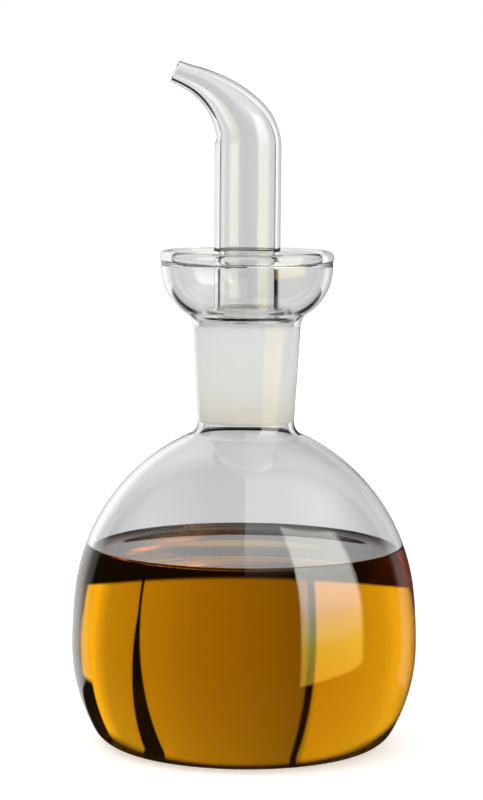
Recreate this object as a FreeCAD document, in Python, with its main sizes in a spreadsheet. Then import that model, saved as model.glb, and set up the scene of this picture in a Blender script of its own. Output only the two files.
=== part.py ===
import FreeCAD, Part
import math
import os
import Sketcher
from FreeCAD import Placement, Rotation, Vector

# A glass oil bottle: a flask whose neck opens into a drip bowl, a ground-in stopper
# drawn out into a bent pouring spout, and the oil inside.
# Millimetres. The origin lies on the axis at the height of the foot ring, +Z is up,
# and the spout pours towards -X.

os.makedirs("parts", exist_ok=True)
doc = FreeCAD.newDocument("OilBottle")

# Driving dimensions: alias, value, meaning
DIMENSIONS = [
    ("belly_diameter", 105.0, "widest outside diameter of the flask"),
    ("belly_height", 30.7, "height of the widest place"),
    ("foot_inset", 15.5, "how far the foot's edge lies inside the belly"),
    ("heel_radius", 10.2, "profile radius between foot and belly"),
    ("upper_belly_radius", 155.0, "profile radius just above the widest place"),
    ("upper_belly_turn", 6.0, "turn of the profile before the domed shoulder starts, degrees"),
    ("foot_ring_width", 4.0, "width of the flat ring that the bottle stands on"),
    ("punt_rise", 1.8, "how far the base rises inside the foot ring"),
    ("flask_wall", 2.1, "glass thickness of the flask"),
    ("neck_height", 98.7, "height where the shoulder ends and the neck starts"),
    ("neck_flare_radius", 4.0, "outside radius between shoulder and neck"),
    ("neck_foot_wall", 1.6, "glass thickness at the foot of the neck"),
    ("joint_diameter", 29.2, "large diameter of the ground joint"),
    ("joint_taper", 10.0, "joint length for each millimetre of diameter"),
    ("joint_length", 31.0, "length of the ground joint"),
    ("joint_clearance", 0.05, "gap between the ground cone and its socket"),
    ("bowl_diameter", 52.0, "outside diameter of the drip bowl"),
    ("bowl_rise", 15.6, "height of the bowl's widest place above the joint"),
    ("bowl_side_radius", 16.5, "outside profile radius of the bowl's side"),
    ("bowl_stem_radius", 4.5, "outside profile radius between neck and bowl"),
    ("bowl_wall", 1.8, "glass thickness of the bowl"),
    ("rim_rise", 3.1, "height of the rim bead's centre above the widest place"),
    ("rim_bead_radius", 1.85, "section radius of the rim bead"),
    ("rim_bead_inset", 1.5, "how far the bead's centre lies inside the bowl's side"),
    ("stopper_ledge", 4.6, "step in radius from the ground cone to the tube"),
    ("stopper_shoulder_radius", 2.4, "outside radius of the stopper's shoulder"),
    ("stopper_root_radius", 1.4, "outside radius between shoulder and tube"),
    ("stopper_wall", 1.8, "glass thickness of the stopper's cone and tube"),
    ("cone_end_round", 0.6, "rounding of the cone's lower end"),
    ("groove_width", 2.6, "width of the drain and air groove, on the side away from the spout"),
    ("groove_depth", 0.8, "depth of that groove"),
    ("bend_height", 181.9, "height where the tube starts to bend"),
    ("bend_lead", 5.0, "straight tube that is drawn together with the bend"),
    ("first_bend_radius", 14.0, "centre-line radius of the first bend"),
    ("first_bend_angle", 31.2, "turn of the first bend, degrees"),
    ("second_bend_radius", 31.0, "centre-line radius of the second bend"),
    ("second_bend_angle", 36.4, "turn of the second bend, degrees"),
    ("tip_run", 5.8, "straight run behind the tip"),
    ("tip_diameter", 7.0, "outside diameter of the tip"),
    ("tip_wall", 1.25, "glass thickness at the tip"),
    ("tip_round", 0.5, "rounding of the tip's edges"),
    ("spout_taper", 1.5, "power of the drawn taper: higher narrows the spout later"),
    ("oil_level", 60.7, "height of the oil's surface"),
]
BEND_STATIONS = 4      # loft sections in each of the two bends
SIDE_MARGIN = 6.0      # how far cutting sketches run past the glass
SAME_PLACE = 0.01      # how near a place an edge lies to count as being there
TIP_MARGIN = 0.2       # how far past the tip's radius its edges are looked for
LEAST_EFFECT = 1.0     # cubic millimetres that a feature adds or cuts at least
CUBIC_CM = 1000        # cubic millimetres in a cubic centimetre
ORIGIN, HORIZONTAL_AXIS, VERTICAL_AXIS = -1, -1, -2
START, END, CENTRE = 1, 2, 3

# Sizes that follow from the driving ones
FOOT = "([belly_diameter] / 2 - [foot_inset])"
JOINT_MOUTH = "([neck_height] + [joint_length])"
SOCKET_TOP = "([joint_diameter] / 2)"
SOCKET_FOOT = "([joint_diameter] / 2 - [joint_length] / [joint_taper] / 2)"
BOWL_HEIGHT = f"({JOINT_MOUTH} + [bowl_rise])"
TUBE_RADIUS = "([joint_diameter] / 2 - [stopper_ledge])"
LEDGE_HEIGHT = f"({JOINT_MOUTH} + [stopper_shoulder_radius])"
DRAWN_FROM = "([bend_height] - [bend_lead])"
FIRST_BEND = "([first_bend_radius] * [first_bend_angle] * pi / 180)"
SECOND_BEND = "([second_bend_radius] * [second_bend_angle] * pi / 180)"
SPOUT_RUN = f"({FIRST_BEND} + {SECOND_BEND} + [tip_run])"

sheet = doc.addObject("Spreadsheet::Sheet", "Dimensions")
for row, (alias, value, meaning) in enumerate(DIMENSIONS, start=1):
    sheet.set(f"A{row}", meaning)
    sheet.set(f"B{row}", str(value))
    sheet.setAlias(f"B{row}", alias)
doc.recompute()


def bound(formula):
    """The formula as an expression on the sheet's cells."""
    return formula.replace("[", "Dimensions.").replace("]", "")


def worth(formula):
    """The formula's present value, worked out in a spare cell of the sheet."""
    sheet.set("D1", "=" + formula.replace("[", "").replace("]", ""))
    sheet.recompute()
    result = sheet.get("D1")
    return float(getattr(result, "Value", result))


def new_body(label):
    body = doc.addObject("PartDesign::Body", label)
    body.Label = label
    body.Placement = Placement(Vector(0, 0, 0), Rotation(0, 0, 0))
    doc.recompute()
    return body


def new_sketch(body, name, role):
    """An empty sketch on one of the body's own origin planes."""
    sketch = body.newObject("Sketcher::SketchObject", name)
    plane = next(item for item in body.Origin.OriginFeatures if item.Role == role)
    sketch.AttachmentSupport = (plane, [""])
    sketch.MapMode = "FlatFace"
    return sketch


def add_line(sketch, start, end):
    return sketch.addGeometry(Part.LineSegment(Vector(*start, 0), Vector(*end, 0)), False)


def add_circle(sketch, centre, radius):
    return sketch.addGeometry(Part.Circle(Vector(*centre, 0), Vector(0, 0, 1), radius), False)


def add_arc(sketch, centre, first, last):
    """An arc that runs counter-clockwise about its centre from first towards last."""
    begin = math.atan2(first[1] - centre[1], first[0] - centre[0])
    finish = math.atan2(last[1] - centre[1], last[0] - centre[0])
    if finish <= begin:
        finish += 2 * math.pi
    circle = Part.Circle(Vector(*centre, 0), Vector(0, 0, 1), math.dist(centre, first))
    return sketch.addGeometry(Part.ArcOfCircle(circle, begin, finish), False)


def hold(sketch, kind, *terms):
    return sketch.addConstraint(Sketcher.Constraint(kind, *terms))


def measure(sketch, kind, *terms):
    """A dimension of the sketch that follows the formula given last."""
    value = worth(terms[-1])
    if kind == "Angle":
        value = math.radians(value)
    index = hold(sketch, kind, *terms[:-1], value)
    sketch.setExpression(f"Constraints[{index}]", bound(terms[-1]))


def place(sketch, item, point, radius, height):
    """Keeps a point at a radius and a height; None leaves that one free."""
    if radius is not None:
        measure(sketch, "DistanceX", ORIGIN, START, item, point, radius)
    if height is not None:
        measure(sketch, "DistanceY", ORIGIN, START, item, point, height)


def towards(centre, point, radius):
    """The point at a radius from the centre on the way to another point."""
    share = radius / math.dist(centre, point)
    return (centre[0] + share * (point[0] - centre[0]), centre[1] + share * (point[1] - centre[1]))


def away(centre, point, radius):
    """The point at a radius from the centre, straight away from another point."""
    return towards(centre, (2 * centre[0] - point[0], 2 * centre[1] - point[1]), radius)


def draw_flask(body, name, wall, bowl_wall, neck_foot, neck_mouth):
    """Half-section of the flask, neck and bowl up to the rim, set in from the outside.

    The outer and the inner face share this chain of tangent arcs: base, foot ring,
    heel, lower and upper belly, shoulder, neck flare, straight neck, stem and bowl.
    """
    sketch = new_sketch(body, name, "XZ_Plane")

    # Places and arc centres near which the solver finds the section
    inset, bowl_inset = worth(wall), worth(bowl_wall)
    foot, belly, widest = worth(FOOT), worth("[belly_diameter] / 2"), worth("[belly_height]")
    ring, rise = foot - worth("[foot_ring_width]"), worth("[punt_rise]")
    ring_start, ring_end = (ring, inset), (foot, inset)
    base_top = (0, inset + rise)
    base_centre = (0, inset + rise - (ring**2 + rise**2) / (2 * rise))
    heel_outer = worth("[heel_radius]")
    heel_centre = (foot, heel_outer)
    side = belly - foot
    lower_outer = (side**2 + (widest - heel_outer)**2 - heel_outer**2) / (2 * (side - heel_outer))
    lower_centre = (belly - lower_outer, widest)
    heel_end = away(heel_centre, lower_centre, heel_outer - inset)
    belly_side = (belly - inset, widest)
    upper_outer, turn = worth("[upper_belly_radius]"), math.radians(worth("[upper_belly_turn]"))
    upper_centre = (belly - upper_outer, widest)
    ahead = (math.cos(turn), math.sin(turn))
    upper_end = tuple(upper_centre[i] + (upper_outer - inset) * ahead[i] for i in (0, 1))
    flare = worth("[neck_flare_radius]") + inset
    low, mouth = worth(neck_foot), worth(neck_mouth)
    lean = math.atan((mouth - low) / worth("[joint_length]"))
    neck_start = (low, worth("[neck_height]"))
    flare_centre = (low + flare * math.cos(lean), neck_start[1] - flare * math.sin(lean))
    span = (upper_end[0] - flare_centre[0], upper_end[1] - flare_centre[1])
    leaning = span[0] * ahead[0] + span[1] * ahead[1]
    shoulder = (math.hypot(*span)**2 - flare**2) / (2 * (leaning + flare))
    shoulder_centre = tuple(upper_end[i] - shoulder * ahead[i] for i in (0, 1))
    shoulder_end = towards(flare_centre, shoulder_centre, flare)
    bowl, bowl_height = worth("[bowl_diameter] / 2"), worth(BOWL_HEIGHT)
    bowl_outer, rim = worth("[bowl_side_radius]"), worth(f"{BOWL_HEIGHT} + [rim_rise]")
    bowl_centre, bowl_side = (bowl - bowl_outer, bowl_height), (bowl - bowl_inset, bowl_height)
    stem = worth("[bowl_stem_radius]") + bowl_inset
    stem_across = mouth + stem - bowl_centre[0]
    stem_down = math.sqrt((stem + bowl_outer - bowl_inset)**2 - stem_across**2)
    stem_centre = (mouth + stem, bowl_height - stem_down)
    neck_end = (stem_centre[0] - stem * math.cos(lean), stem_centre[1] + stem * math.sin(lean))
    bowl_start = towards(stem_centre, bowl_centre, stem)

    base = add_arc(sketch, base_centre, ring_start, base_top)
    foot_ring = add_line(sketch, ring_start, ring_end)
    heel = add_arc(sketch, heel_centre, ring_end, heel_end)
    lower_belly = add_arc(sketch, lower_centre, heel_end, belly_side)
    upper_belly = add_arc(sketch, upper_centre, belly_side, upper_end)
    dome = add_arc(sketch, shoulder_centre, upper_end, shoulder_end)
    neck_flare = add_arc(sketch, flare_centre, neck_start, shoulder_end)
    neck = add_line(sketch, neck_start, neck_end)
    bowl_stem = add_arc(sketch, stem_centre, bowl_start, neck_end)
    bowl_arc = add_arc(sketch, bowl_centre, bowl_start, bowl_side)
    bowl_lip = add_line(sketch, bowl_side, (bowl_side[0], rim))
    rim_line = add_line(sketch, (bowl_side[0], rim), (0, rim))
    axis_line = add_line(sketch, (0, rim), base_top)

    hold(sketch, "Coincident", base, START, foot_ring, START)
    hold(sketch, "Tangent", foot_ring, END, heel, START)
    hold(sketch, "Tangent", heel, END, lower_belly, START)
    hold(sketch, "Tangent", lower_belly, END, upper_belly, START)
    hold(sketch, "Tangent", upper_belly, END, dome, START)
    hold(sketch, "Tangent", dome, END, neck_flare, END)
    hold(sketch, "Tangent", neck_flare, START, neck, START)
    hold(sketch, "Tangent", neck, END, bowl_stem, END)
    hold(sketch, "Tangent", bowl_stem, START, bowl_arc, START)
    hold(sketch, "Tangent", bowl_arc, END, bowl_lip, START)
    hold(sketch, "Coincident", bowl_lip, END, rim_line, START)
    hold(sketch, "Coincident", rim_line, END, axis_line, START)
    hold(sketch, "Coincident", axis_line, END, base, END)
    for item in (foot_ring, rim_line):
        hold(sketch, "Horizontal", item)
    for item, point in ((base, CENTRE), (base, END), (axis_line, START)):
        hold(sketch, "PointOnObject", item, point, VERTICAL_AXIS)
    hold(sketch, "Horizontal", lower_belly, CENTRE, lower_belly, END)
    hold(sketch, "Vertical", bowl_lip)

    if inset > 0:
        place(sketch, foot_ring, START, None, wall)
    else:
        hold(sketch, "PointOnObject", foot_ring, START, HORIZONTAL_AXIS)
    place(sketch, foot_ring, START, f"{FOOT} - [foot_ring_width]", None)
    place(sketch, foot_ring, END, FOOT, None)
    place(sketch, base, END, None, f"{wall} + [punt_rise]")
    measure(sketch, "Radius", heel, f"[heel_radius] - {wall}")
    place(sketch, lower_belly, END, f"[belly_diameter] / 2 - {wall}", "[belly_height]")
    measure(sketch, "Radius", upper_belly, f"[upper_belly_radius] - {wall}")
    measure(sketch, "Angle", upper_belly, "[upper_belly_turn] * 1deg")
    measure(sketch, "Radius", neck_flare, f"[neck_flare_radius] + {wall}")
    place(sketch, neck, START, neck_foot, "[neck_height]")
    measure(sketch, "Angle", neck, f"90deg - atan(({neck_mouth} - {neck_foot}) / [joint_length])")
    measure(sketch, "Radius", bowl_stem, f"[bowl_stem_radius] + {bowl_wall}")
    measure(sketch, "Radius", bowl_arc, f"[bowl_side_radius] - {bowl_wall}")
    place(sketch, bowl_arc, END, f"[bowl_diameter] / 2 - {bowl_wall}", BOWL_HEIGHT)
    place(sketch, bowl_lip, END, None, f"{BOWL_HEIGHT} + [rim_rise]")
    return sketch


def draw_cavity(body):
    """Half-section of the space inside the glass, from the base up to the rim."""
    return draw_flask(body, "CavitySection", "[flask_wall]", "[bowl_wall]", SOCKET_FOOT, SOCKET_TOP)


def draw_stopper(body, name, wall):
    """Half-section of the stopper's cone, ledge and straight tube, set in by the wall."""
    sketch = new_sketch(body, name, "XZ_Plane")
    cone_foot = f"{SOCKET_FOOT} - [joint_clearance] - {wall}"
    cone_top = f"{SOCKET_TOP} - [joint_clearance] - {wall}"
    lean = worth("atan(1 / [joint_taper] / 2)")
    bottom, mouth = worth("[neck_height]"), worth(JOINT_MOUTH)
    ledge = worth(f"{LEDGE_HEIGHT} - {wall}")
    low, high, tube = worth(cone_foot), worth(cone_top), worth(f"{TUBE_RADIUS} - {wall}")
    turn, root = worth(f"[stopper_shoulder_radius] - {wall}"), worth(f"[stopper_root_radius] + {wall}")
    top = worth(DRAWN_FROM)
    turn_centre = (high - turn * math.cos(math.radians(lean)), ledge - turn)
    root_centre = (tube + root, ledge + root)

    foot_line = add_line(sketch, (0, bottom), (low, bottom))
    cone = add_line(sketch, (low, bottom), (high, mouth))
    turn_arc = add_arc(sketch, turn_centre, (high, mouth), (turn_centre[0], ledge))
    ledge_line = add_line(sketch, (turn_centre[0], ledge), (root_centre[0], ledge))
    root_arc = add_arc(sketch, root_centre, (tube, root_centre[1]), (root_centre[0], ledge))
    tube_line = add_line(sketch, (tube, root_centre[1]), (tube, top))
    top_line = add_line(sketch, (tube, top), (0, top))
    axis_line = add_line(sketch, (0, top), (0, bottom))

    hold(sketch, "Coincident", foot_line, END, cone, START)
    hold(sketch, "Tangent", cone, END, turn_arc, START)
    hold(sketch, "Tangent", turn_arc, END, ledge_line, START)
    hold(sketch, "Tangent", ledge_line, END, root_arc, END)
    hold(sketch, "Tangent", root_arc, START, tube_line, START)
    hold(sketch, "Coincident", tube_line, END, top_line, START)
    hold(sketch, "Coincident", top_line, END, axis_line, START)
    hold(sketch, "Coincident", axis_line, END, foot_line, START)
    for item in (foot_line, ledge_line, top_line):
        hold(sketch, "Horizontal", item)
    hold(sketch, "Vertical", tube_line)
    for item in (foot_line, axis_line):
        hold(sketch, "PointOnObject", item, START, VERTICAL_AXIS)

    place(sketch, cone, START, cone_foot, "[neck_height]")
    measure(sketch, "Angle", cone, "90deg - atan(1 / [joint_taper] / 2)")
    measure(sketch, "Radius", turn_arc, f"[stopper_shoulder_radius] - {wall}")
    place(sketch, ledge_line, START, None, f"{LEDGE_HEIGHT} - {wall}")
    measure(sketch, "Radius", root_arc, f"[stopper_root_radius] + {wall}")
    place(sketch, tube_line, END, f"{TUBE_RADIUS} - {wall}", DRAWN_FROM)
    return sketch


def check_effect(feature, before):
    """A feature that adds or cuts nothing is a fault that FreeCAD doesn't report."""
    if abs(feature.Shape.Volume - before) < LEAST_EFFECT:
        raise RuntimeError(f"{feature.Label} changes nothing")
    return feature


def tip_volume(body):
    return body.Tip.Shape.Volume if body.Tip else 0


def revolve(body, kind, name, sketch):
    before = tip_volume(body)
    feature = body.newObject(kind, name)
    feature.Profile = sketch
    feature.ReferenceAxis = (sketch, ["V_Axis"])
    feature.Angle = 360
    doc.recompute()
    return check_effect(feature, before)


def spout_stations():
    """Turn, run from the bend's start, and place of each section of the drawn spout."""
    first_x = "([first_bend_radius] * (cos({turn}) - 1))"
    first_z = "([bend_height] + [first_bend_radius] * sin({turn}))"
    stations = [("0", "0", "0", DRAWN_FROM), ("0", "0", "0", "([bend_height] - [bend_lead] / 2)"),
                ("0", "0", "0", "[bend_height]")]
    for step in range(1, BEND_STATIONS + 1):
        turn = f"([first_bend_angle] * {step} / {BEND_STATIONS})"
        run = f"({FIRST_BEND} * {step} / {BEND_STATIONS})"
        stations.append((turn, run, first_x.format(turn=turn), first_z.format(turn=turn)))
    bend_x = first_x.format(turn="[first_bend_angle]")
    bend_z = first_z.format(turn="[first_bend_angle]")
    for step in range(1, BEND_STATIONS + 1):
        turn = f"([first_bend_angle] + [second_bend_angle] * {step} / {BEND_STATIONS})"
        run = f"({FIRST_BEND} + {SECOND_BEND} * {step} / {BEND_STATIONS})"
        across = f"({bend_x} + [second_bend_radius] * (cos({turn}) - cos([first_bend_angle])))"
        height = f"({bend_z} + [second_bend_radius] * (sin({turn}) - sin([first_bend_angle])))"
        stations.append((turn, run, across, height))
    turn, _, across, height = stations[-1]
    stations.append((turn, SPOUT_RUN, f"({across} - [tip_run] * sin({turn}))",
                     f"({height} + [tip_run] * cos({turn}))"))
    return stations


def no_wall(share):
    return "0"


def spout_wall(share):
    """The spout's wall, which thins evenly towards the tip."""
    return f"([stopper_wall] + ([tip_wall] - [stopper_wall]) * {share})"


def draw_spout_sections(body, name, wall_at):
    """Circles across the spout's centre line, narrowing towards the tip."""
    sketches = []
    for index, (turn, run, across, height) in enumerate(spout_stations()):
        sketch = new_sketch(body, f"{name}{index}", "XY_Plane")
        share = f"({run} / {SPOUT_RUN})"
        taper = f"(1 - {share} ^ [spout_taper]) ^ 2"
        outside = f"([tip_diameter] / 2 + ({TUBE_RADIUS} - [tip_diameter] / 2) * {taper})"
        circle = add_circle(sketch, (0, 0), worth(f"{outside} - {wall_at(share)}"))
        hold(sketch, "Coincident", circle, CENTRE, ORIGIN, START)
        measure(sketch, "Radius", circle, f"{outside} - {wall_at(share)}")
        place_at = Vector(worth(across), 0, worth(height))
        sketch.AttachmentOffset = Placement(place_at, Rotation(Vector(0, -1, 0), worth(turn)))
        sketch.setExpression("AttachmentOffset.Base.x", bound(across) + " * 1mm")
        sketch.setExpression("AttachmentOffset.Base.z", bound(height) + " * 1mm")
        if worth(turn) > 0:
            sketch.setExpression("AttachmentOffset.Rotation.Angle", bound(turn) + " * 1deg")
        sketches.append(sketch)
    return sketches


def loft(body, kind, name, sections):
    before = tip_volume(body)
    feature = body.newObject(kind, name)
    feature.Profile = sections[0]
    feature.Sections = sections[1:]
    doc.recompute()
    return check_effect(feature, before)


def round_edges(body, name, radius, chosen):
    """Rounds the edges of the body's tip feature that a test picks out."""
    base = body.Tip
    names = [f"Edge{number}" for number, edge in enumerate(base.Shape.Edges, start=1) if chosen(edge)]
    feature = body.newObject("PartDesign::Fillet", name)
    feature.Base = (base, names)
    feature.setExpression("Radius", bound(radius))
    doc.recompute()
    return feature


def make_bottle():
    """Flask, neck socket and drip bowl: one piece of blown glass."""
    body = new_body("bottle")
    neck_foot = f"({SOCKET_FOOT} + [neck_foot_wall])"
    outer = draw_flask(body, "OuterSection", "0", "0", neck_foot, f"({SOCKET_TOP} + [bowl_wall])")
    revolve(body, "PartDesign::Revolution", "OuterForm", outer)
    revolve(body, "PartDesign::Groove", "Cavity", draw_cavity(body))

    bead = new_sketch(body, "BeadSection", "XZ_Plane")
    bead_out = "([bowl_diameter] / 2 - [rim_bead_inset])"
    bead_up = f"({BOWL_HEIGHT} + [rim_rise])"
    circle = add_circle(bead, (worth(bead_out), worth(bead_up)), worth("[rim_bead_radius]"))
    place(bead, circle, CENTRE, bead_out, bead_up)
    measure(bead, "Radius", circle, "[rim_bead_radius]")
    revolve(body, "PartDesign::Revolution", "RimBead", bead)
    return body


def make_stopper():
    """Hollow ground cone, ledge and tube, drawn out into the bent spout."""
    body = new_body("spout_stopper")
    revolve(body, "PartDesign::Revolution", "OuterForm", draw_stopper(body, "OuterSection", "0"))
    outside = draw_spout_sections(body, "SpoutSection", no_wall)
    loft(body, "PartDesign::AdditiveLoft", "Spout", outside)
    inside = draw_spout_sections(body, "BoreCircle", spout_wall)
    loft(body, "PartDesign::SubtractiveLoft", "SpoutBore", inside)
    revolve(body, "PartDesign::Groove", "Bore", draw_stopper(body, "BoreSection", "[stopper_wall]"))

    foot = worth("[neck_height]")
    _, _, tip_across, tip_height = spout_stations()[-1]
    tip = Vector(worth(tip_across), 0, worth(tip_height))
    tip_reach = worth("[tip_diameter] / 2") + TIP_MARGIN

    def at_cone_end(edge):
        return abs(edge.BoundBox.ZMax - foot) < SAME_PLACE

    def at_tip(edge):
        return all(tip.distanceToPoint(vertex.Point) < tip_reach for vertex in edge.Vertexes)

    round_edges(body, "ConeEnd", "[cone_end_round]", at_cone_end)
    round_edges(body, "TipEdges", "[tip_round]", at_tip)
    cut_drain_groove(body)
    return body


def cut_drain_groove(body):
    """The groove down the cone that drains the bowl and lets air in while oil runs out."""
    groove = new_sketch(body, "GrooveSection", "XZ_Plane")
    floor = f"({SOCKET_FOOT} - [joint_clearance] - [groove_depth])"
    slope = "(1 / [joint_taper] / 2)"
    groove_top = f"({LEDGE_HEIGHT} + {SIDE_MARGIN})"
    inner, outer = worth(floor), worth(SOCKET_TOP) + SIDE_MARGIN
    bottom, top = worth("[neck_height]"), worth(groove_top)
    inner_top = inner + (top - bottom) * worth(slope)
    floor_line = add_line(groove, (inner, bottom), (inner_top, top))
    top_line = add_line(groove, (inner_top, top), (outer, top))
    outer_line = add_line(groove, (outer, top), (outer, bottom))
    foot_line = add_line(groove, (outer, bottom), (inner, bottom))
    loop = (floor_line, top_line, outer_line, foot_line)
    for item, following in zip(loop, loop[1:] + loop[:1]):
        hold(groove, "Coincident", item, END, following, START)
    hold(groove, "Horizontal", top_line)
    hold(groove, "Horizontal", foot_line)
    hold(groove, "Vertical", outer_line)
    place(groove, floor_line, START, floor, "[neck_height]")
    measure(groove, "Angle", floor_line, f"90deg - atan({slope})")
    place(groove, outer_line, START, f"{SOCKET_TOP} + {SIDE_MARGIN}", groove_top)
    before = tip_volume(body)
    cut = body.newObject("PartDesign::Pocket", "DrainGroove")
    cut.Profile = groove
    cut.Midplane = True
    cut.setExpression("Length", bound("[groove_width]"))
    doc.recompute()
    check_effect(cut, before)


def make_oil():
    """The cavity's own section, kept only below the oil's surface."""
    body = new_body("oil")
    revolve(body, "PartDesign::Revolution", "FullCavity", draw_cavity(body))
    level = new_sketch(body, "Level", "XY_Plane")
    level.AttachmentOffset = Placement(Vector(0, 0, worth("[oil_level]")), Rotation(0, 0, 0))
    level.setExpression("AttachmentOffset.Base.z", bound("[oil_level]") + " * 1mm")
    circle = add_circle(level, (0, 0), worth("[belly_diameter] / 2"))
    hold(level, "Coincident", circle, CENTRE, ORIGIN, START)
    measure(level, "Radius", circle, "[belly_diameter] / 2")
    before = tip_volume(body)
    emptied = body.newObject("PartDesign::Pocket", "Headspace")
    emptied.Profile = level
    emptied.Type = "ThroughAll"
    emptied.Reversed = True
    doc.recompute()
    check_effect(emptied, before)
    return body


parts = [make_bottle(), make_stopper(), make_oil()]
doc.recompute()

for item in doc.Objects:
    if "Invalid" in item.State or "Error" in item.State:
        raise RuntimeError(f"{item.Label} failed: {item.State}")
for part in parts:
    shape = part.Shape
    if shape.isNull() or not shape.isValid() or len(shape.Solids) != 1:
        raise RuntimeError(f"{part.Label} is not one valid solid")
    shape.exportStep(f"parts/{part.Label}.step")
    print(f"{part.Label}: {shape.Volume / CUBIC_CM:.2f} cm3")
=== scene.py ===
import math

import bmesh
import bpy
from mathutils import Matrix, Vector


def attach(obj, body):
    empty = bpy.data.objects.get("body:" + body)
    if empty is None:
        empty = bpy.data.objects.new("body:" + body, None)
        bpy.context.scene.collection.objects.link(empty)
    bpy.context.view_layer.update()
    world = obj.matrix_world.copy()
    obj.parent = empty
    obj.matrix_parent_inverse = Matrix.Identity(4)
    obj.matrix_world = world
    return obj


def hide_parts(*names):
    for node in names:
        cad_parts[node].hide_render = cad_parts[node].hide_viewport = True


# The glass oil bottle in metres: origin on the axis at the foot ring, +Z up, the
# spout towards -X. Blown glass, ground joint, oil and the studio around them.

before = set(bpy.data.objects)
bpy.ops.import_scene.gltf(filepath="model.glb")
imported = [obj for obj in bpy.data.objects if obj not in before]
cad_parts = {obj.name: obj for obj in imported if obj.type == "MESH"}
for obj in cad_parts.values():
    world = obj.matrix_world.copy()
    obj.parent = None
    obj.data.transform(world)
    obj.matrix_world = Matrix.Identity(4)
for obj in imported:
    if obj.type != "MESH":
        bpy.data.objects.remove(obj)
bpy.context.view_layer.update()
MM = 0.001

# ------------------------------------------------------------------ driving sizes, mm
BELLY_RADIUS = 52.5
BELLY_HEIGHT = 30.7
FOOT_INSET = 15.5
HEEL_RADIUS = 10.2
UPPER_BELLY_RADIUS = 155.0
UPPER_BELLY_TURN = math.radians(6.0)
FOOT_RING_WIDTH = 4.0
PUNT_RISE = 1.8
FLASK_WALL = 2.1
NECK_HEIGHT = 98.7
NECK_FLARE_RADIUS = 4.0
NECK_FOOT_WALL = 1.6
JOINT_RADIUS = 14.6
JOINT_TAPER = 10.0
JOINT_LENGTH = 31.0
JOINT_GAP = 0.05
BOWL_RADIUS = 26.0
BOWL_RISE = 15.6
BOWL_SIDE_RADIUS = 16.5
BOWL_STEM_RADIUS = 4.5
BOWL_WALL = 1.8
RIM_RISE = 3.1
BEAD_RADIUS = 1.85
BEAD_INSET = 1.5
BEAD_BLEND = 1.2
LEDGE = 4.6
LEDGE_TURN = 2.4
LEDGE_ROOT = 1.4
STOPPER_WALL = 1.8
CONE_END_ROUND = 0.6
CONE_TOP_GAP = 0.2
GROOVE_WIDTH = 2.6
GROOVE_DEPTH = 0.8
GROOVE_REACH = 0.9           # share of the ledge's turn that the groove climbs
BEND_HEIGHT = 181.9
BENDS = ((14.0, math.radians(31.2)), (31.0, math.radians(36.4)))
TIP_RUN = 5.8
TIP_RADIUS = 3.5
TIP_WALL = 1.25
TIP_ROUND = 0.5
SPOUT_TAPER = 1.5
OIL_LEVEL = 60.7
OIL_INTO_WALL = 0.25
SURFACE_DIP = 1.8            # the middle of the surface lies this far below the level at the wall
MENISCUS_RISE = 2.0
CAPILLARY_LENGTH = 1.89
LEAST_RISE = 0.004           # where the meniscus is taken to be level

MOUTH = NECK_HEIGHT + JOINT_LENGTH
JOINT_LEAN = math.atan(0.5 / JOINT_TAPER)
JOINT_FOOT_RADIUS = JOINT_RADIUS - JOINT_LENGTH * math.tan(JOINT_LEAN)
TUBE_RADIUS = JOINT_RADIUS - LEDGE
TUBE_RADIUS_INSIDE = TUBE_RADIUS - STOPPER_WALL

# Mesh fineness
STEP = 0.55            # mm between rings along a curved profile
FLASK_SEGMENTS = 192
SPOUT_SEGMENTS = 96
BASE_STEP = 1.5        # along the nearly flat punt
BEAD_BLEND_STEP = 0.25
FINE_STEP = 0.3        # mm between rings round the rim and the stopper's ledge
FINEST_STEP = 0.15     # and round the end of the cone
MENISCUS_RINGS = 36
STRAIGHT_RINGS = 24
DRAWN_RINGS = 64
TIP_RINGS = 6


# ------------------------------------------------------------------ plane geometry
def polar(centre, radius, angle):
    return (centre[0] + radius * math.cos(angle), centre[1] + radius * math.sin(angle))


def bearing(centre, point):
    return math.atan2(point[1] - centre[1], point[0] - centre[0])


def arc(centre, radius, start, end, step=STEP):
    """Points from one bearing to another; the way round is the sign of end - start."""
    count = max(2, math.ceil(abs(end - start) * radius / step))
    return [polar(centre, radius, start + (end - start) * i / count) for i in range(count + 1)]


def line(start, end, step=STEP * 2):
    count = max(1, math.ceil(math.dist(start, end) / step))
    return [(start[0] + (end[0] - start[0]) * i / count, start[1] + (end[1] - start[1]) * i / count)
            for i in range(count + 1)]


def chain(*runs):
    """Joins runs of points end to end, leaving out points that repeat."""
    points = [runs[0][0]]
    for run in runs:
        points += [p for p in run if math.dist(p, points[-1]) > 1e-4]
    return points


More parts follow.
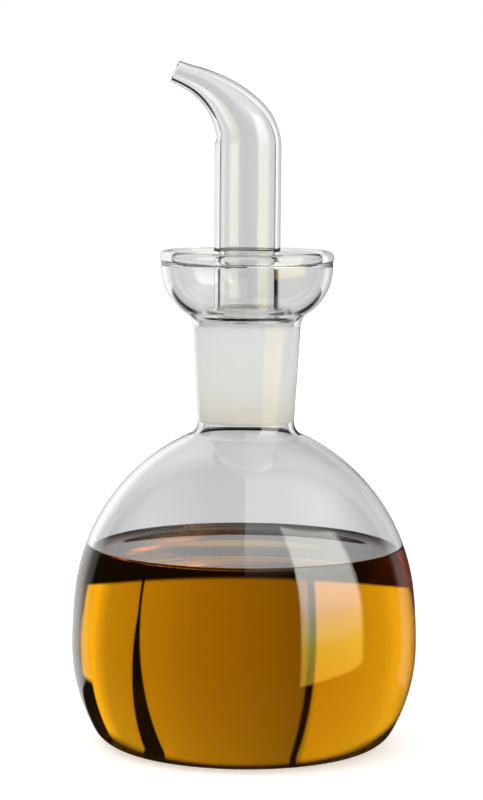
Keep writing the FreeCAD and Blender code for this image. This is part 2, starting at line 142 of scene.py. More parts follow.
def flask_face(inset, bowl_inset, neck_foot, neck_mouth):
    """One face of the flask's wall from the axis up to the bowl's widest place."""
    foot = BELLY_RADIUS - FOOT_INSET
    ring = foot - FOOT_RING_WIDTH
    base_radius = (ring**2 + PUNT_RISE**2) / (2 * PUNT_RISE)
    base_centre = (0, inset + PUNT_RISE - base_radius)
    base_turn = math.asin((inset - base_centre[1]) / base_radius)
    heel_centre = (foot, HEEL_RADIUS)
    drop = BELLY_HEIGHT - HEEL_RADIUS
    lower = (FOOT_INSET**2 + drop**2 - HEEL_RADIUS**2) / (2 * (FOOT_INSET - HEEL_RADIUS))
    lower_centre = (BELLY_RADIUS - lower, BELLY_HEIGHT)
    heel_turn = bearing(lower_centre, heel_centre)
    upper_centre = (BELLY_RADIUS - UPPER_BELLY_RADIUS, BELLY_HEIGHT)
    lean = math.atan((neck_mouth - neck_foot) / JOINT_LENGTH)
    flare = NECK_FLARE_RADIUS + inset
    flare_centre = (neck_foot + flare * math.cos(lean), NECK_HEIGHT - flare * math.sin(lean))
    upper_end = polar(upper_centre, UPPER_BELLY_RADIUS - inset, UPPER_BELLY_TURN)
    ahead = polar((0, 0), 1, UPPER_BELLY_TURN)
    span = (upper_end[0] - flare_centre[0], upper_end[1] - flare_centre[1])
    leaning = span[0] * ahead[0] + span[1] * ahead[1]
    shoulder = (math.hypot(*span)**2 - flare**2) / (2 * (leaning + flare))
    shoulder_centre = polar(upper_end, -shoulder, UPPER_BELLY_TURN)
    shoulder_turn = bearing(shoulder_centre, flare_centre)
    bowl_centre = (BOWL_RADIUS - BOWL_SIDE_RADIUS, MOUTH + BOWL_RISE)
    stem = BOWL_STEM_RADIUS + bowl_inset
    across = neck_mouth + stem - bowl_centre[0]
    down = math.sqrt((stem + BOWL_SIDE_RADIUS - bowl_inset)**2 - across**2)
    stem_centre = (neck_mouth + stem, bowl_centre[1] - down)
    stem_turn = bearing(stem_centre, bowl_centre)
    neck = [polar(flare_centre, flare, math.pi - lean), polar(stem_centre, stem, math.pi - lean)]
    return {
        "base": arc(base_centre, base_radius, math.pi / 2, base_turn, BASE_STEP),
        "ring": line((ring, inset), (foot, inset)),
        "heel": arc(heel_centre, HEEL_RADIUS - inset, -math.pi / 2, heel_turn),
        "lower": arc(lower_centre, lower - inset, heel_turn, 0),
        "upper": arc(upper_centre, UPPER_BELLY_RADIUS - inset, 0, UPPER_BELLY_TURN),
        "shoulder": arc(shoulder_centre, shoulder, UPPER_BELLY_TURN, shoulder_turn),
        "flare": arc(flare_centre, flare, math.pi + shoulder_turn, math.pi - lean),
        "neck": line(*neck),
        "stem": arc(stem_centre, stem, math.pi - lean, stem_turn),
        "bowl": arc(bowl_centre, BOWL_SIDE_RADIUS - bowl_inset, stem_turn - math.pi, 0),
    }


def rim_bead(side_out, side_in, height):
    """The fire-polished rim: a bead that blends into both faces of the bowl's wall."""
    centre = (BOWL_RADIUS - BEAD_INSET, height)
    blends = []
    for side, way in ((side_out, 1), (side_in, -1)):
        x = side + way * BEAD_BLEND
        drop = math.sqrt((BEAD_RADIUS + BEAD_BLEND)**2 - (x - centre[0])**2)
        blends.append((x, height - drop))
    outer, inner = blends
    return chain(arc(outer, BEAD_BLEND, math.pi, bearing(outer, centre), BEAD_BLEND_STEP),
                 arc(centre, BEAD_RADIUS, bearing(centre, outer), bearing(centre, inner) + 2 * math.pi,
                     FINE_STEP),
                 arc(inner, BEAD_BLEND, bearing(inner, centre), 0, BEAD_BLEND_STEP))


# ------------------------------------------------------------------ meshes
def new_object(name, mesh, *materials):
    for material in materials:
        mesh.materials.append(material)
    piece = bpy.data.objects.new(name, mesh)
    bpy.context.scene.collection.objects.link(piece)
    return piece


def skin(name, rings, segments, materials):
    """A closed smooth mesh through rings of (place function, material index).

    A ring's place function gives the point at a turn about the axis; a ring that is
    given as one point closes the mesh at a pole.
    """
    made = bmesh.new()
    turns = [2 * math.pi * i / segments for i in range(segments)]
    rows = []
    for place, _ in rings:
        if callable(place):
            rows.append([made.verts.new(place(turn)) for turn in turns])
        else:
            rows.append([made.verts.new(place)])
    closed = rings[0][0] is rings[-1][0]
    for row, following, (_, index) in zip(rows, rows[1:], rings):
        for i in range(segments):
            j = (i + 1) % segments
            if len(row) == 1:
                corners = (row[0], following[j], following[i])
            elif len(following) == 1:
                corners = (row[i], row[j], following[0])
            else:
                corners = (row[i], row[j], following[j], following[i])
            face = made.faces.new(corners)
            face.material_index = index
            face.smooth = True
    if closed:
        bmesh.ops.remove_doubles(made, verts=made.verts, dist=1e-7)
    bmesh.ops.recalc_face_normals(made, faces=made.faces)
    mesh = bpy.data.meshes.new(name)
    made.to_mesh(mesh)
    made.free()
    return new_object(name, mesh, *materials)


def round_ring(radius, height):
    def place(turn):
        return Vector((radius * math.cos(turn), radius * math.sin(turn), height)) * MM
    return place


def lathe(name, sections, segments, materials):
    """Turns runs of (points, material index) about the axis; the ends lie on it."""
    rings = []
    last = None
    for points, index in sections:
        for radius, height in points:
            if last is not None and math.dist(last, (radius, height)) < 1e-4:
                rings[-1] = (rings[-1][0], index)
                continue
            last = (radius, height)
            place = round_ring(radius, height) if radius > 1e-6 else Vector((0, 0, height)) * MM
            rings.append((place, index))
    return skin(name, rings, segments, materials)


def spout_path(run):
    """Place and tilt of the spout's centre line at a run from the bend's start."""
    x, z, tilt = 0.0, BEND_HEIGHT + min(run, 0), 0.0
    left = max(run, 0)
    for radius, turn in BENDS:
        part = min(left / radius, turn)
        x -= radius * (math.cos(tilt) - math.cos(tilt + part))
        z += radius * (math.sin(tilt + part) - math.sin(tilt))
        tilt += part
        left -= radius * part
        if left <= 1e-9:
            return x, z, tilt
    return x - left * math.sin(tilt), z + left * math.cos(tilt), tilt


SPOUT_RUN = sum(radius * turn for radius, turn in BENDS) + TIP_RUN


def spout_radius(run):
    share = max(run, 0) / SPOUT_RUN
    return TIP_RADIUS + (TUBE_RADIUS - TIP_RADIUS) * (1 - min(share, 1)**SPOUT_TAPER)**2


def spout_bore(run):
    share = min(max(run, 0) / SPOUT_RUN, 1)
    return spout_radius(run) - STOPPER_WALL - (TIP_WALL - STOPPER_WALL) * share


def tilted_ring(run, radius):
    """A ring square to the spout's centre line."""
    x, z, tilt = spout_path(run)

    def place(turn):
        across, depth = radius * math.cos(turn), radius * math.sin(turn)
        return Vector((x + across * math.cos(tilt), depth, z + across * math.sin(tilt))) * MM
    return place


def grooved_ring(radius, height):
    """A ring of the ground cone, with the drain groove on the side away from the spout."""
    def place(turn):
        aside = abs(math.atan2(math.sin(turn), math.cos(turn))) * radius / (GROOVE_WIDTH / 2)
        sink = GROOVE_DEPTH * max(0.0, 1 - aside**4) if aside < 1 else 0.0
        return Vector(((radius - sink) * math.cos(turn), (radius - sink) * math.sin(turn), height)) * MM
    return place


# ------------------------------------------------------------------ materials
GLASS_IOR = 1.473
GLASS_COLOUR = (0.99, 0.995, 0.99)
GROUND_COLOUR = (0.99, 0.99, 0.985)
GROUND_ROUGHNESS = 0.55
GROUND_UNTINTED = (0.997, 0.996, 0.992, 1)
# painted gold reflection of the oil, shown by the ground faces towards the joint's foot
GROUND_GOLD_REFLECTION = (0.985, 0.95, 0.86, 1)
GROUND_SHARE = 0.85          # of the light that the ground faces scatter
GOLD_REFLECTION_TOP = 113.0            # mm above the table, where the painted gold reflection of the oil fades out
GOLD_REFLECTION_PATCHES = 90.0
OIL_IOR = 1.468
OIL_SHELL = (0.9, 1.0, 0.85)
OIL_COLOUR = (0.946, 0.78, 0.07, 1)
OIL_DENSITY = 70.0
FLASK_RIPPLES = 22
SPOUT_RIPPLES = 40
RIPPLE_DEPTH = 0.0004
GRAIN_DEPTH = 0.0001
RIPPLE_STRENGTH = 0.25
GRAIN_STRENGTH = 0.3
GRAIN_SCALE = 2500


def node_material(name):
    material = bpy.data.materials.new(name)
    material.use_nodes = True
    nodes = material.node_tree.nodes
    nodes.clear()
    return material, nodes, material.node_tree.links


def waviness(nodes, links, scale, strength, distance):
    """Slow ripples of blown glass, as bump."""
    place = nodes.new("ShaderNodeTexCoord")
    noise = nodes.new("ShaderNodeTexNoise")
    noise.inputs["Scale"].default_value = scale
    noise.inputs["Detail"].default_value = 2.0
    bump = nodes.new("ShaderNodeBump")
    bump.inputs["Strength"].default_value = strength
    bump.inputs["Distance"].default_value = distance
    links.new(place.outputs["Object"], noise.inputs["Vector"])
    links.new(noise.outputs["Fac"], bump.inputs["Height"])
    return bump


def principled(nodes, colour, roughness, transmission, ior):
    shader = nodes.new("ShaderNodeBsdfPrincipled")
    shader.inputs["Base Color"].default_value = (*colour, 1)
    shader.inputs["Roughness"].default_value = roughness
    shader.inputs["Transmission Weight"].default_value = transmission
    shader.inputs["IOR"].default_value = ior
    return shader


def clear_glass(name, scale):
    """Polished borosilicate with the faint ripples of blown glass."""
    material, nodes, links = node_material(name)
    shader = principled(nodes, GLASS_COLOUR, 0.0, 1.0, GLASS_IOR)
    bump = waviness(nodes, links, scale, RIPPLE_STRENGTH, RIPPLE_DEPTH)
    output = nodes.new("ShaderNodeOutputMaterial")
    links.new(bump.outputs["Normal"], shader.inputs["Normal"])
    links.new(shader.outputs["BSDF"], output.inputs["Surface"])
    return material


def ground_glass(name):
    """The joint's ground faces: fine white frosting, with a painted gold reflection of the oil towards its
    foot.
    """
    material, nodes, links = node_material(name)
    rough = principled(nodes, GROUND_COLOUR, GROUND_ROUGHNESS, 1.0, GLASS_IOR)
    place = nodes.new("ShaderNodeTexCoord")
    parts = nodes.new("ShaderNodeSeparateXYZ")
    # Painted gold reflection of the oil: the frosting turns warm low on the joint, in noisy patches.
    fade = nodes.new("ShaderNodeMapRange")
    fade.interpolation_type = "SMOOTHSTEP"
    fade.inputs["From Min"].default_value = GOLD_REFLECTION_TOP * MM
    fade.inputs["From Max"].default_value = NECK_HEIGHT * MM
    cloud = nodes.new("ShaderNodeTexNoise")
    cloud.inputs["Scale"].default_value = GOLD_REFLECTION_PATCHES
    patchy = maths(nodes, links, "MULTIPLY", fade.outputs["Result"], cloud.outputs["Fac"])
    tint = nodes.new("ShaderNodeMix")
    tint.data_type = "RGBA"
    tint.inputs["A"].default_value, tint.inputs["B"].default_value = GROUND_UNTINTED, GROUND_GOLD_REFLECTION
    links.new(patchy, tint.inputs["Factor"])
    white = nodes.new("ShaderNodeBsdfDiffuse")
    through = nodes.new("ShaderNodeBsdfTranslucent")
    scatter = nodes.new("ShaderNodeMixShader")
    scatter.inputs["Fac"].default_value = 0.5
    mix = nodes.new("ShaderNodeMixShader")
    mix.inputs["Fac"].default_value = GROUND_SHARE
    grain = waviness(nodes, links, GRAIN_SCALE, GRAIN_STRENGTH, GRAIN_DEPTH)
    output = nodes.new("ShaderNodeOutputMaterial")
    links.new(place.outputs["Object"], parts.inputs["Vector"])
    links.new(place.outputs["Object"], cloud.inputs["Vector"])
    links.new(parts.outputs["Z"], fade.inputs["Value"])
    links.new(tint.outputs["Result"], white.inputs["Color"])
    links.new(tint.outputs["Result"], through.inputs["Color"])
    links.new(grain.outputs["Normal"], rough.inputs["Normal"])
    links.new(white.outputs["BSDF"], scatter.inputs[1])
    links.new(through.outputs["BSDF"], scatter.inputs[2])
    links.new(rough.outputs["BSDF"], mix.inputs[1])
    links.new(scatter.outputs["Shader"], mix.inputs[2])
    links.new(mix.outputs["Shader"], output.inputs["Surface"])
    return material


def oil_material(name):
    """Golden olive oil: its colour comes from the depth that the light crosses."""
    material, nodes, links = node_material(name)
    shader = principled(nodes, OIL_SHELL, 0.0, 1.0, OIL_IOR)
    depth = nodes.new("ShaderNodeVolumeAbsorption")
    depth.inputs["Color"].default_value = OIL_COLOUR
    depth.inputs["Density"].default_value = OIL_DENSITY
    output = nodes.new("ShaderNodeOutputMaterial")
    links.new(shader.outputs["BSDF"], output.inputs["Surface"])
    links.new(depth.outputs["Volume"], output.inputs["Volume"])
    return material


# ------------------------------------------------------------------ the pieces
def make_flask(clear, ground):
    outer = flask_face(0, 0, JOINT_FOOT_RADIUS + NECK_FOOT_WALL, JOINT_RADIUS + BOWL_WALL)
    inner = flask_face(FLASK_WALL, BOWL_WALL, JOINT_FOOT_RADIUS, JOINT_RADIUS)
    rim = rim_bead(BOWL_RADIUS, BOWL_RADIUS - BOWL_WALL, MOUTH + BOWL_RISE + RIM_RISE)
    sections = [(run, 0) for run in outer.values()]
    sections.append((rim, 0))
    for name in reversed(inner):
        sections.append((inner[name][::-1], 1 if name == "neck" else 0))
    return lathe("flask_glass", sections, FLASK_SEGMENTS, (clear, ground))


def meniscus_run(height):
    """How far from an upright wall a wetting liquid has fallen to a height above its level."""
    share = height / CAPILLARY_LENGTH
    return CAPILLARY_LENGTH * (math.acosh(2 / share) - math.sqrt(4 - share**2))


def make_oil(material):
    """The oil up to its level, a little into the wall, with its meniscus."""
    face = flask_face(FLASK_WALL - OIL_INTO_WALL, BOWL_WALL, JOINT_FOOT_RADIUS, JOINT_RADIUS)
    level = OIL_LEVEL - SURFACE_DIP
    top = level + MENISCUS_RISE
    wetted = [point for name in ("base", "ring", "heel", "lower", "upper", "shoulder")
              for point in face[name] if point[1] < top]
    before, after = wetted[-2:]
    lean = (after[0] - before[0]) / (after[1] - before[1])
    edge = after[0] + lean * (top - after[1])
    wall = edge - OIL_INTO_WALL
    surface = [(edge, top), (wall, top)]
    for i in range(1, MENISCUS_RINGS + 1):
        height = MENISCUS_RISE * (1 - i / MENISCUS_RINGS)**1.5 + LEAST_RISE
        surface.append((wall - meniscus_run(height) + meniscus_run(MENISCUS_RISE), level + height))
    surface += [(wall * share, level) for share in (0.7, 0.4, 0)]
    return lathe("oil_fill", [(chain(wetted), 0), (surface, 0)], FLASK_SEGMENTS, (material,))


def make_spout(clear, ground):
    """The stopper: hollow ground cone, ledge and tube, drawn out into the bent spout."""
    lean_cos, lean_tan = math.cos(JOINT_LEAN), math.tan(JOINT_LEAN)
    foot, top = NECK_HEIGHT, MOUTH
    faces = []
    for wall in (0, STOPPER_WALL):
        low = JOINT_FOOT_RADIUS - JOINT_GAP - wall
        high = JOINT_RADIUS - JOINT_GAP - wall
        turn, root = LEDGE_TURN - wall, LEDGE_ROOT + wall
        ledge = top + LEDGE_TURN - wall
        turn_centre = (high - turn * lean_cos, ledge - turn)
        root_centre = (TUBE_RADIUS - wall + root, ledge + root)
        faces.append((
            line((low + CONE_END_ROUND * lean_tan, foot + CONE_END_ROUND),
                 (high, top - (0 if wall else CONE_TOP_GAP))),
            chain(arc(turn_centre, turn, -JOINT_LEAN, math.pi / 2, FINE_STEP),
                  arc(root_centre, root, 1.5 * math.pi, math.pi, FINE_STEP)),
        ))
    (outer_cone, outer_ledge), (inner_cone, inner_ledge) = faces
    end_out = (outer_cone[0][0] - CONE_END_ROUND, foot + CONE_END_ROUND)
    end_in = (inner_cone[0][0] + CONE_END_ROUND, foot + CONE_END_ROUND)
    cone_end = chain(arc(end_in, CONE_END_ROUND, math.pi, 1.5 * math.pi, FINEST_STEP),
                     arc(end_out, CONE_END_ROUND, 1.5 * math.pi, 2 * math.pi, FINEST_STEP))

    rings = [(round_ring(*point), 0) for point in cone_end[:-1]]
    rings += [(grooved_ring(*point), 1) for point in outer_cone]
    groove_top = top + LEDGE_TURN * GROOVE_REACH
    rings += [(grooved_ring(*point), 0) for point in outer_ledge if point[1] < groove_top]
    rings += [(round_ring(*point), 0) for point in outer_ledge if point[1] >= groove_top]

    last = outer_ledge[-1][1] - BEND_HEIGHT
    straight = [last + (0 - last) * i / STRAIGHT_RINGS for i in range(1, STRAIGHT_RINGS + 1)]
    drawn = [SPOUT_RUN * i / DRAWN_RINGS for i in range(1, DRAWN_RINGS)]
    runs = straight + [run for run in drawn if run < SPOUT_RUN - TIP_ROUND]
    rings += [(tilted_ring(run, spout_radius(run)), 0) for run in runs]
    bore_end = spout_bore(SPOUT_RUN)
    for i in range(TIP_RINGS + 1):
        turn = math.pi / 2 * i / TIP_RINGS
        rings.append((tilted_ring(SPOUT_RUN - TIP_ROUND * (1 - math.sin(turn)),
                                  TIP_RADIUS - TIP_ROUND * (1 - math.cos(turn))), 0))
    for i in range(TIP_RINGS + 1):
        turn = math.pi / 2 * i / TIP_RINGS
        rings.append((tilted_ring(SPOUT_RUN - TIP_ROUND * (1 - math.cos(turn)),
                                  bore_end + TIP_ROUND * (1 - math.sin(turn))), 0))
    rings += [(tilted_ring(run, spout_bore(run)), 0) for run in reversed(runs)]
    rings += [(round_ring(*point), 0) for point in reversed(inner_ledge)]
    rings += [(round_ring(*point), 0) for point in reversed(inner_cone)]
    rings.append(rings[0])
    return skin("spout_glass", rings, SPOUT_SEGMENTS, (clear, ground))


# ------------------------------------------------------------------ studio
CAMERA_DISTANCE = 0.850
CAMERA_HEIGHT = 0.1917
CAMERA_PITCH = math.radians(5.82)
CAMERA_ROLL = math.radians(0.45)
CAMERA_AIM_LEFT = 0.00136
LENS = 126.9
SENSOR = 36.0


def make_camera():
    data = bpy.data.cameras.new("camera")
    data.lens, data.sensor_width = LENS, SENSOR
    camera = bpy.data.objects.new("camera", data)
    yaw = math.atan(CAMERA_AIM_LEFT / CAMERA_DISTANCE)
    turn = (Matrix.Rotation(yaw, 4, "Z") @ Matrix.Rotation(math.pi / 2 - CAMERA_PITCH, 4, "X")
            @ Matrix.Rotation(CAMERA_ROLL, 4, "Z"))
    camera.matrix_world = Matrix.Translation((0, -CAMERA_DISTANCE, CAMERA_HEIGHT)) @ turn
    bpy.context.scene.collection.objects.link(camera)
    bpy.context.scene.camera = camera


# The studio round the glass: (compass bearing in degrees from behind the bottle
# towards its right, grey level), with straight runs between. The oil, the empty glass
# and the mirrored light each have their own tones.
THROUGH_OIL = ((-180, 0.6), (-100, 0.6), (-60, 2.0), (-48, 1.85), (-39, 1.35), (-25, 1.15), (-15, 1.1),
               (-13.5, 0.36), (-12, 0.42), (-5, 0.53), (0, 0.60), (6, 0.67), (10, 0.72), (15, 0.81),
               (19, 0.88), (27, 0.94), (38, 1.05), (43, 1.6), (46, 2.1), (57, 2.1), (60, 0.15), (80, 0.3),
               (100, 0.6), (180, 0.6))
THROUGH_GLASS = ((-180, 0.6), (-169, 0.6), (-168, 1.05), (-90, 0.6), (-75, 1.1), (-20, 1.0), (-9, 0.78),
                 (-3.2, 0.82), (-2.4, 0.68), (1, 0.68), (3, 0.76), (27, 0.8), (33, 1.1),
                 (75, 1.1), (90, 0.6), (168, 1.05), (169, 0.6), (180, 0.6))
REFLECTED = ((-180, 0.01), (-45, 0.01), (-35, 1.0), (-12, 1.0), (-11, 0.6), (11, 0.6), (12, 0.3),
             (14, 0.01), (180, 0.01))
DARK_LEVEL = 0.012
TURNED_WIDTH = 48.0          # light turned inside the clear glass comes from within this bearing
GROUND_LEVEL = 2.0           # what light scattered in the ground glass meets
# Dark gaps between the panels, as the oil shows them: middle bearing on the level and
# its drift by elevation, half width on the level and its growth by elevation.
GAPS = ((24.9, 0.0, 1.9, 0.1), (-13.6, 0.06, 0.9, 0.0))
GAP_LEAST = 0.5
FAR_PANEL = (49.0, 5.0)      # the panel ends beyond this bearing and above this elevation
RISING_GAIN = ((-90, 1.0), (-16, 1.0), (-4, 1.0), (8, 1.03), (20, 1.08), (24, 0.05), (90, 0.05))
# Below the panels: a dark edge, then the table, by elevation.
EDGE_SEEN = -19.0
EDGE_REFLECTED = -17.4
TABLE_THROUGH_OIL = ((-90, 0.5), (-66, 0.5), (-62, 0.04), (-40, 0.04), (-38, 0.6), (-32, 0.6),
                     (-30, 0.012), (90, 0.012))
TABLE_THROUGH_GLASS = 0.85
SURFACES_ROUND_OIL = 6       # faces that a ray crosses on its way through the oil
PLAIN_LEVEL = 0.95           # what matt faces are lit by
# The soft box in front on the right: its sides, the slope of its foot and head as
# (elevation at the first side, at the second), and its colour by elevation. Low down
# it is golden with the light that the oil throws.
SOFTBOX = (94.0, 141.5)
SOFTBOX_FOOT = (-10.0, -19.5)
SOFTBOX_HEAD = (37.0, 54.0)
SOFTBOX_COLOURS = ((-90, (2.2, 1.5, 0.2)), (-12, (2.4, 1.6, 0.2)), (-6, (2.4, 2.0, 0.3)),
                   (-4, (2.4, 2.3, 0.8)), (5, (2.8, 2.8, 2.7)), (30, (4.4, 4.4, 4.3)), (90, (4.4, 4.4, 4.3)))
GLOW = (60.0, 36.0, 1.3)     # the ceiling above it: bearing and elevation that it starts at, level
GLOW_BLUR = (25.0, 12.0)     # how softly it starts, across and upwards
EDGE_BLUR = 0.4              # degrees either side, along the edges of the panels and the table
SIDE_BLUR = 0.5
FOOT_BLUR = 0.7
HEAD_BLUR = 1.0
TURNED_BLUR = 4.0


def maths(nodes, links, operation, *terms):
    node = nodes.new("ShaderNodeMath")
    node.operation = operation
    for slot, term in zip(node.inputs, terms):
        if isinstance(term, (int, float)):
            slot.default_value = term
        else:
            links.new(term, slot)
    return node.outputs[0]


def rising(nodes, links, value, edge, blur):
    """0 below an edge and 1 above it, with a soft step."""
    step = nodes.new("ShaderNodeMapRange")
    step.interpolation_type = "SMOOTHSTEP"
    step.inputs["From Min"].default_value = -blur
    step.inputs["From Max"].default_value = blur
    links.new(maths(nodes, links, "SUBTRACT", value, edge), step.inputs["Value"])
    return step.outputs["Result"]


def blend(nodes, links, factor, first, second, colours=False):
    """The first term where the factor is 0, the second where it is 1."""
    mix = nodes.new("ShaderNodeMix")
    mix.data_type = "RGBA" if colours else "FLOAT"
    factor_socket, *terms = [socket for socket in mix.inputs
                             if socket.enabled and socket.name in ("Factor", "A", "B")]
    for socket, term in zip((factor_socket, *terms), (factor, first, second)):
        if isinstance(term, (int, float)):
            socket.default_value = (term, term, term, 1) if colours and socket.name != "Factor" else term
        else:
            links.new(term, socket)
    return next(socket for socket in mix.outputs if socket.enabled)


def sloping(nodes, links, value, ends, levels):
    """The straight line that has two levels at two ends."""
    slope = (levels[1] - levels[0]) / (ends[1] - ends[0])
    return maths(nodes, links, "MULTIPLY_ADD", maths(nodes, links, "SUBTRACT", value, ends[0]), slope,
                 levels[0])


def graded(nodes, links, value, points):
    """A level that runs straight from point to point."""
    low, high = points[0][0], points[-1][0]
    ramp = nodes.new("ShaderNodeValToRGB")
    elements = ramp.color_ramp.elements
    for place, level in points:
        if place == low:
            element = elements[0]
        elif place == high:
            element = elements[len(elements) - 1]
        else:
            element = elements.new((place - low) / (high - low))
        element.color = (*level, 1) if isinstance(level, tuple) else (level, level, level, 1)
    links.new(sloping(nodes, links, value, (low, high), (0, 1)), ramp.inputs["Fac"])
    return ramp.outputs["Color"]


def panels_through_oil(nodes, links, bearing_degrees, height):
    """The panels behind as the oil gathers them, with the dark gaps between them."""
    level = maths(nodes, links, "MULTIPLY", graded(nodes, links, bearing_degrees, THROUGH_OIL),
                  graded(nodes, links, height, RISING_GAIN))
    for middle, drift, half, growth in GAPS:
        centre = maths(nodes, links, "MULTIPLY_ADD", height, drift, middle)
        aside = maths(nodes, links, "ABSOLUTE", maths(nodes, links, "SUBTRACT", bearing_degrees, centre))
        reach = maths(nodes, links, "MAXIMUM",
                      maths(nodes, links, "MULTIPLY_ADD", height, growth, half), GAP_LEAST)
        level = maths(nodes, links, "MULTIPLY", level, rising(nodes, links, aside, reach, EDGE_BLUR))
    ended = maths(nodes, links, "MULTIPLY", rising(nodes, links, bearing_degrees, FAR_PANEL[0], SIDE_BLUR),
                  rising(nodes, links, height, FAR_PANEL[1], HEAD_BLUR))
    level = blend(nodes, links, ended, level, DARK_LEVEL)
    return maths(nodes, links, "MAXIMUM", level, DARK_LEVEL)


def soft_box(nodes, links, bearing_degrees, height):
    """Whether a direction meets the soft box, from 0 to 1, and the box's colour there."""
    left, right = SOFTBOX
    foot = sloping(nodes, links, bearing_degrees, SOFTBOX, SOFTBOX_FOOT)
    head = sloping(nodes, links, bearing_degrees, SOFTBOX, SOFTBOX_HEAD)
    past_right = rising(nodes, links, bearing_degrees, right, SIDE_BLUR)
    past_head = rising(nodes, links, height, head, HEAD_BLUR)
    inside = rising(nodes, links, bearing_degrees, left, SIDE_BLUR)
    for limit in (maths(nodes, links, "SUBTRACT", 1, past_right),
                  rising(nodes, links, height, foot, FOOT_BLUR),
                  maths(nodes, links, "SUBTRACT", 1, past_head)):
        inside = maths(nodes, links, "MULTIPLY", inside, limit)
    return inside, graded(nodes, links, height, SOFTBOX_COLOURS)


def make_world():
    world = bpy.data.worlds.new("studio")
    world.use_nodes = True
    bpy.context.scene.world = world
    nodes, links = world.node_tree.nodes, world.node_tree.links
    nodes.clear()
    rays = nodes.new("ShaderNodeLightPath")
    place = nodes.new("ShaderNodeTexCoord")
    parts = nodes.new("ShaderNodeSeparateXYZ")
    links.new(place.outputs["Generated"], parts.inputs["Vector"])
    turn = maths(nodes, links, "ARCTAN2", parts.outputs["X"], parts.outputs["Y"])
    bearing_degrees = maths(nodes, links, "MULTIPLY", turn, math.degrees(1))
    height = maths(nodes, links, "MULTIPLY", maths(nodes, links, "ARCSINE", parts.outputs["Z"]),
                   math.degrees(1))

    def above(edge, low, tone):
        return blend(nodes, links, rising(nodes, links, height, edge, EDGE_BLUR), low, tone)

    through_oil = above(EDGE_SEEN, graded(nodes, links, height, TABLE_THROUGH_OIL),
                        panels_through_oil(nodes, links, bearing_degrees, height))
    panels = graded(nodes, links, bearing_degrees, THROUGH_GLASS)
    through_glass = above(EDGE_SEEN, TABLE_THROUGH_GLASS, panels)
    oily = maths(nodes, links, "COMPARE", rays.outputs["Transmission Depth"], SURFACES_ROUND_OIL, 1.5)
    through = blend(nodes, links, oily, through_glass, through_oil)

    inside, box = soft_box(nodes, links, bearing_degrees, height)
    glow = maths(nodes, links, "MULTIPLY", rising(nodes, links, bearing_degrees, GLOW[0], GLOW_BLUR[0]),
                 maths(nodes, links, "MULTIPLY", rising(nodes, links, height, GLOW[1], GLOW_BLUR[1]), GLOW[2]))

    def with_front(tone):
        return blend(nodes, links, inside, maths(nodes, links, "ADD", tone, glow), box, colours=True)

    mirrored = with_front(above(EDGE_REFLECTED, DARK_LEVEL,
                                graded(nodes, links, bearing_degrees, REFLECTED)))
    aside = maths(nodes, links, "ABSOLUTE", bearing_degrees)
    narrow = maths(nodes, links, "SUBTRACT", 1, rising(nodes, links, aside, TURNED_WIDTH, TURNED_BLUR))
    turned_in_glass = with_front(above(EDGE_REFLECTED, DARK_LEVEL,
                                       maths(nodes, links, "MULTIPLY", panels, narrow)))

    entered = maths(nodes, links, "GREATER_THAN", rays.outputs["Transmission Depth"], 0.5)
    in_glass = maths(nodes, links, "MULTIPLY", entered, maths(nodes, links, "SUBTRACT", 1, oily))
    turned = maths(nodes, links, "GREATER_THAN", rays.outputs["Glossy Depth"], 0.5)
    level = blend(nodes, links, rays.outputs["Is Transmission Ray"], PLAIN_LEVEL, through)
    reflected = blend(nodes, links, in_glass, mirrored, turned_in_glass, colours=True)
    level = blend(nodes, links, turned, level, reflected, colours=True)
    scattered = maths(nodes, links, "GREATER_THAN", rays.outputs["Diffuse Depth"], 0.5)
    plain = blend(nodes, links, entered, PLAIN_LEVEL, GROUND_LEVEL)
    level = blend(nodes, links, scattered, level, plain, colours=True)
    level = blend(nodes, links, rays.outputs["Is Camera Ray"], level, 1.0, colours=True)
    back = nodes.new("ShaderNodeBackground")
    links.new(level, back.inputs["Color"])
    output = nodes.new("ShaderNodeOutputWorld")
    links.new(back.outputs["Background"], output.inputs["Surface"])
    world.cycles.sampling_method = "NONE"


FLOOR_REACH = 3.0
FLOOR_COLOUR = (0.9, 0.9, 0.9, 1)
FLOOR_GLOW = 0.42            # lifts the floor to the white background, for the camera alone


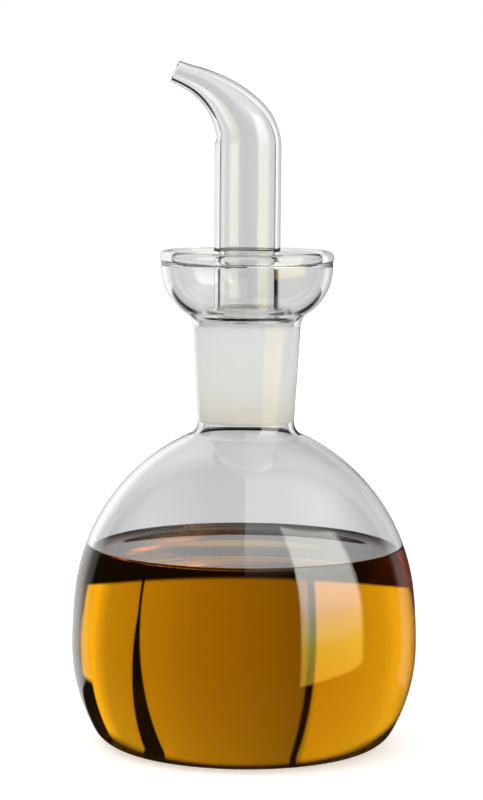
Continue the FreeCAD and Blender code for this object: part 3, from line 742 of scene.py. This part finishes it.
def make_floor():
    reach = FLOOR_REACH
    corners = [(-reach, -reach, 0), (reach, -reach, 0), (reach, reach, 0), (-reach, reach, 0)]
    mesh = bpy.data.meshes.new("floor")
    mesh.from_pydata(corners, [], [(0, 1, 2, 3)])
    material, nodes, links = node_material("floor_white")
    matte = nodes.new("ShaderNodeBsdfDiffuse")
    matte.inputs["Color"].default_value = FLOOR_COLOUR
    glow = nodes.new("ShaderNodeEmission")
    glow.inputs["Color"].default_value = (1, 1, 1, 1)
    rays = nodes.new("ShaderNodeLightPath")
    strength = nodes.new("ShaderNodeMath")
    strength.operation = "MULTIPLY"
    strength.inputs[1].default_value = FLOOR_GLOW
    links.new(rays.outputs["Is Camera Ray"], strength.inputs[0])
    links.new(strength.outputs[0], glow.inputs["Strength"])
    add = nodes.new("ShaderNodeAddShader")
    output = nodes.new("ShaderNodeOutputMaterial")
    links.new(matte.outputs["BSDF"], add.inputs[0])
    links.new(glow.outputs["Emission"], add.inputs[1])
    links.new(add.outputs["Shader"], output.inputs["Surface"])
    floor = new_object("floor", mesh, material)
    floor.visible_glossy = False
    floor.visible_transmission = False


def make_lamp(name, place, aim, size, power):
    data = bpy.data.lights.new(name, "AREA")
    data.shape, data.size, data.energy = "DISK", size, power
    lamp = bpy.data.objects.new(name, data)
    lamp.location = place
    lamp.rotation_euler = (Vector(aim) - Vector(place)).to_track_quat("-Z", "Y").to_euler()
    lamp.visible_glossy = False
    lamp.visible_transmission = False
    bpy.context.scene.collection.objects.link(lamp)


# ------------------------------------------------------------------ assembly
flask_clear = clear_glass("flask_clear", FLASK_RIPPLES)
spout_clear = clear_glass("spout_clear", SPOUT_RIPPLES)
ground = ground_glass("joint_ground")

flask = make_flask(flask_clear, ground)
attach(flask, "root")
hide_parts("bottle")

spout = make_spout(spout_clear, ground)
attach(spout, "root")
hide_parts("spout_stopper")

oil = make_oil(oil_material("golden_oil"))
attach(oil, "root")
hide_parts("oil")

make_camera()
make_world()
make_floor()
make_lamp("overhead", place=(-0.5, -0.3, 1.2), aim=(0, 0, 0.05), size=0.9, power=3.5)

bpy.context.scene.view_settings.view_transform = "Standard"
cycles = bpy.context.scene.cycles
cycles.use_denoising = True
cycles.max_bounces = cycles.transmission_bounces = 32
cycles.glossy_bounces = cycles.diffuse_bounces = 16
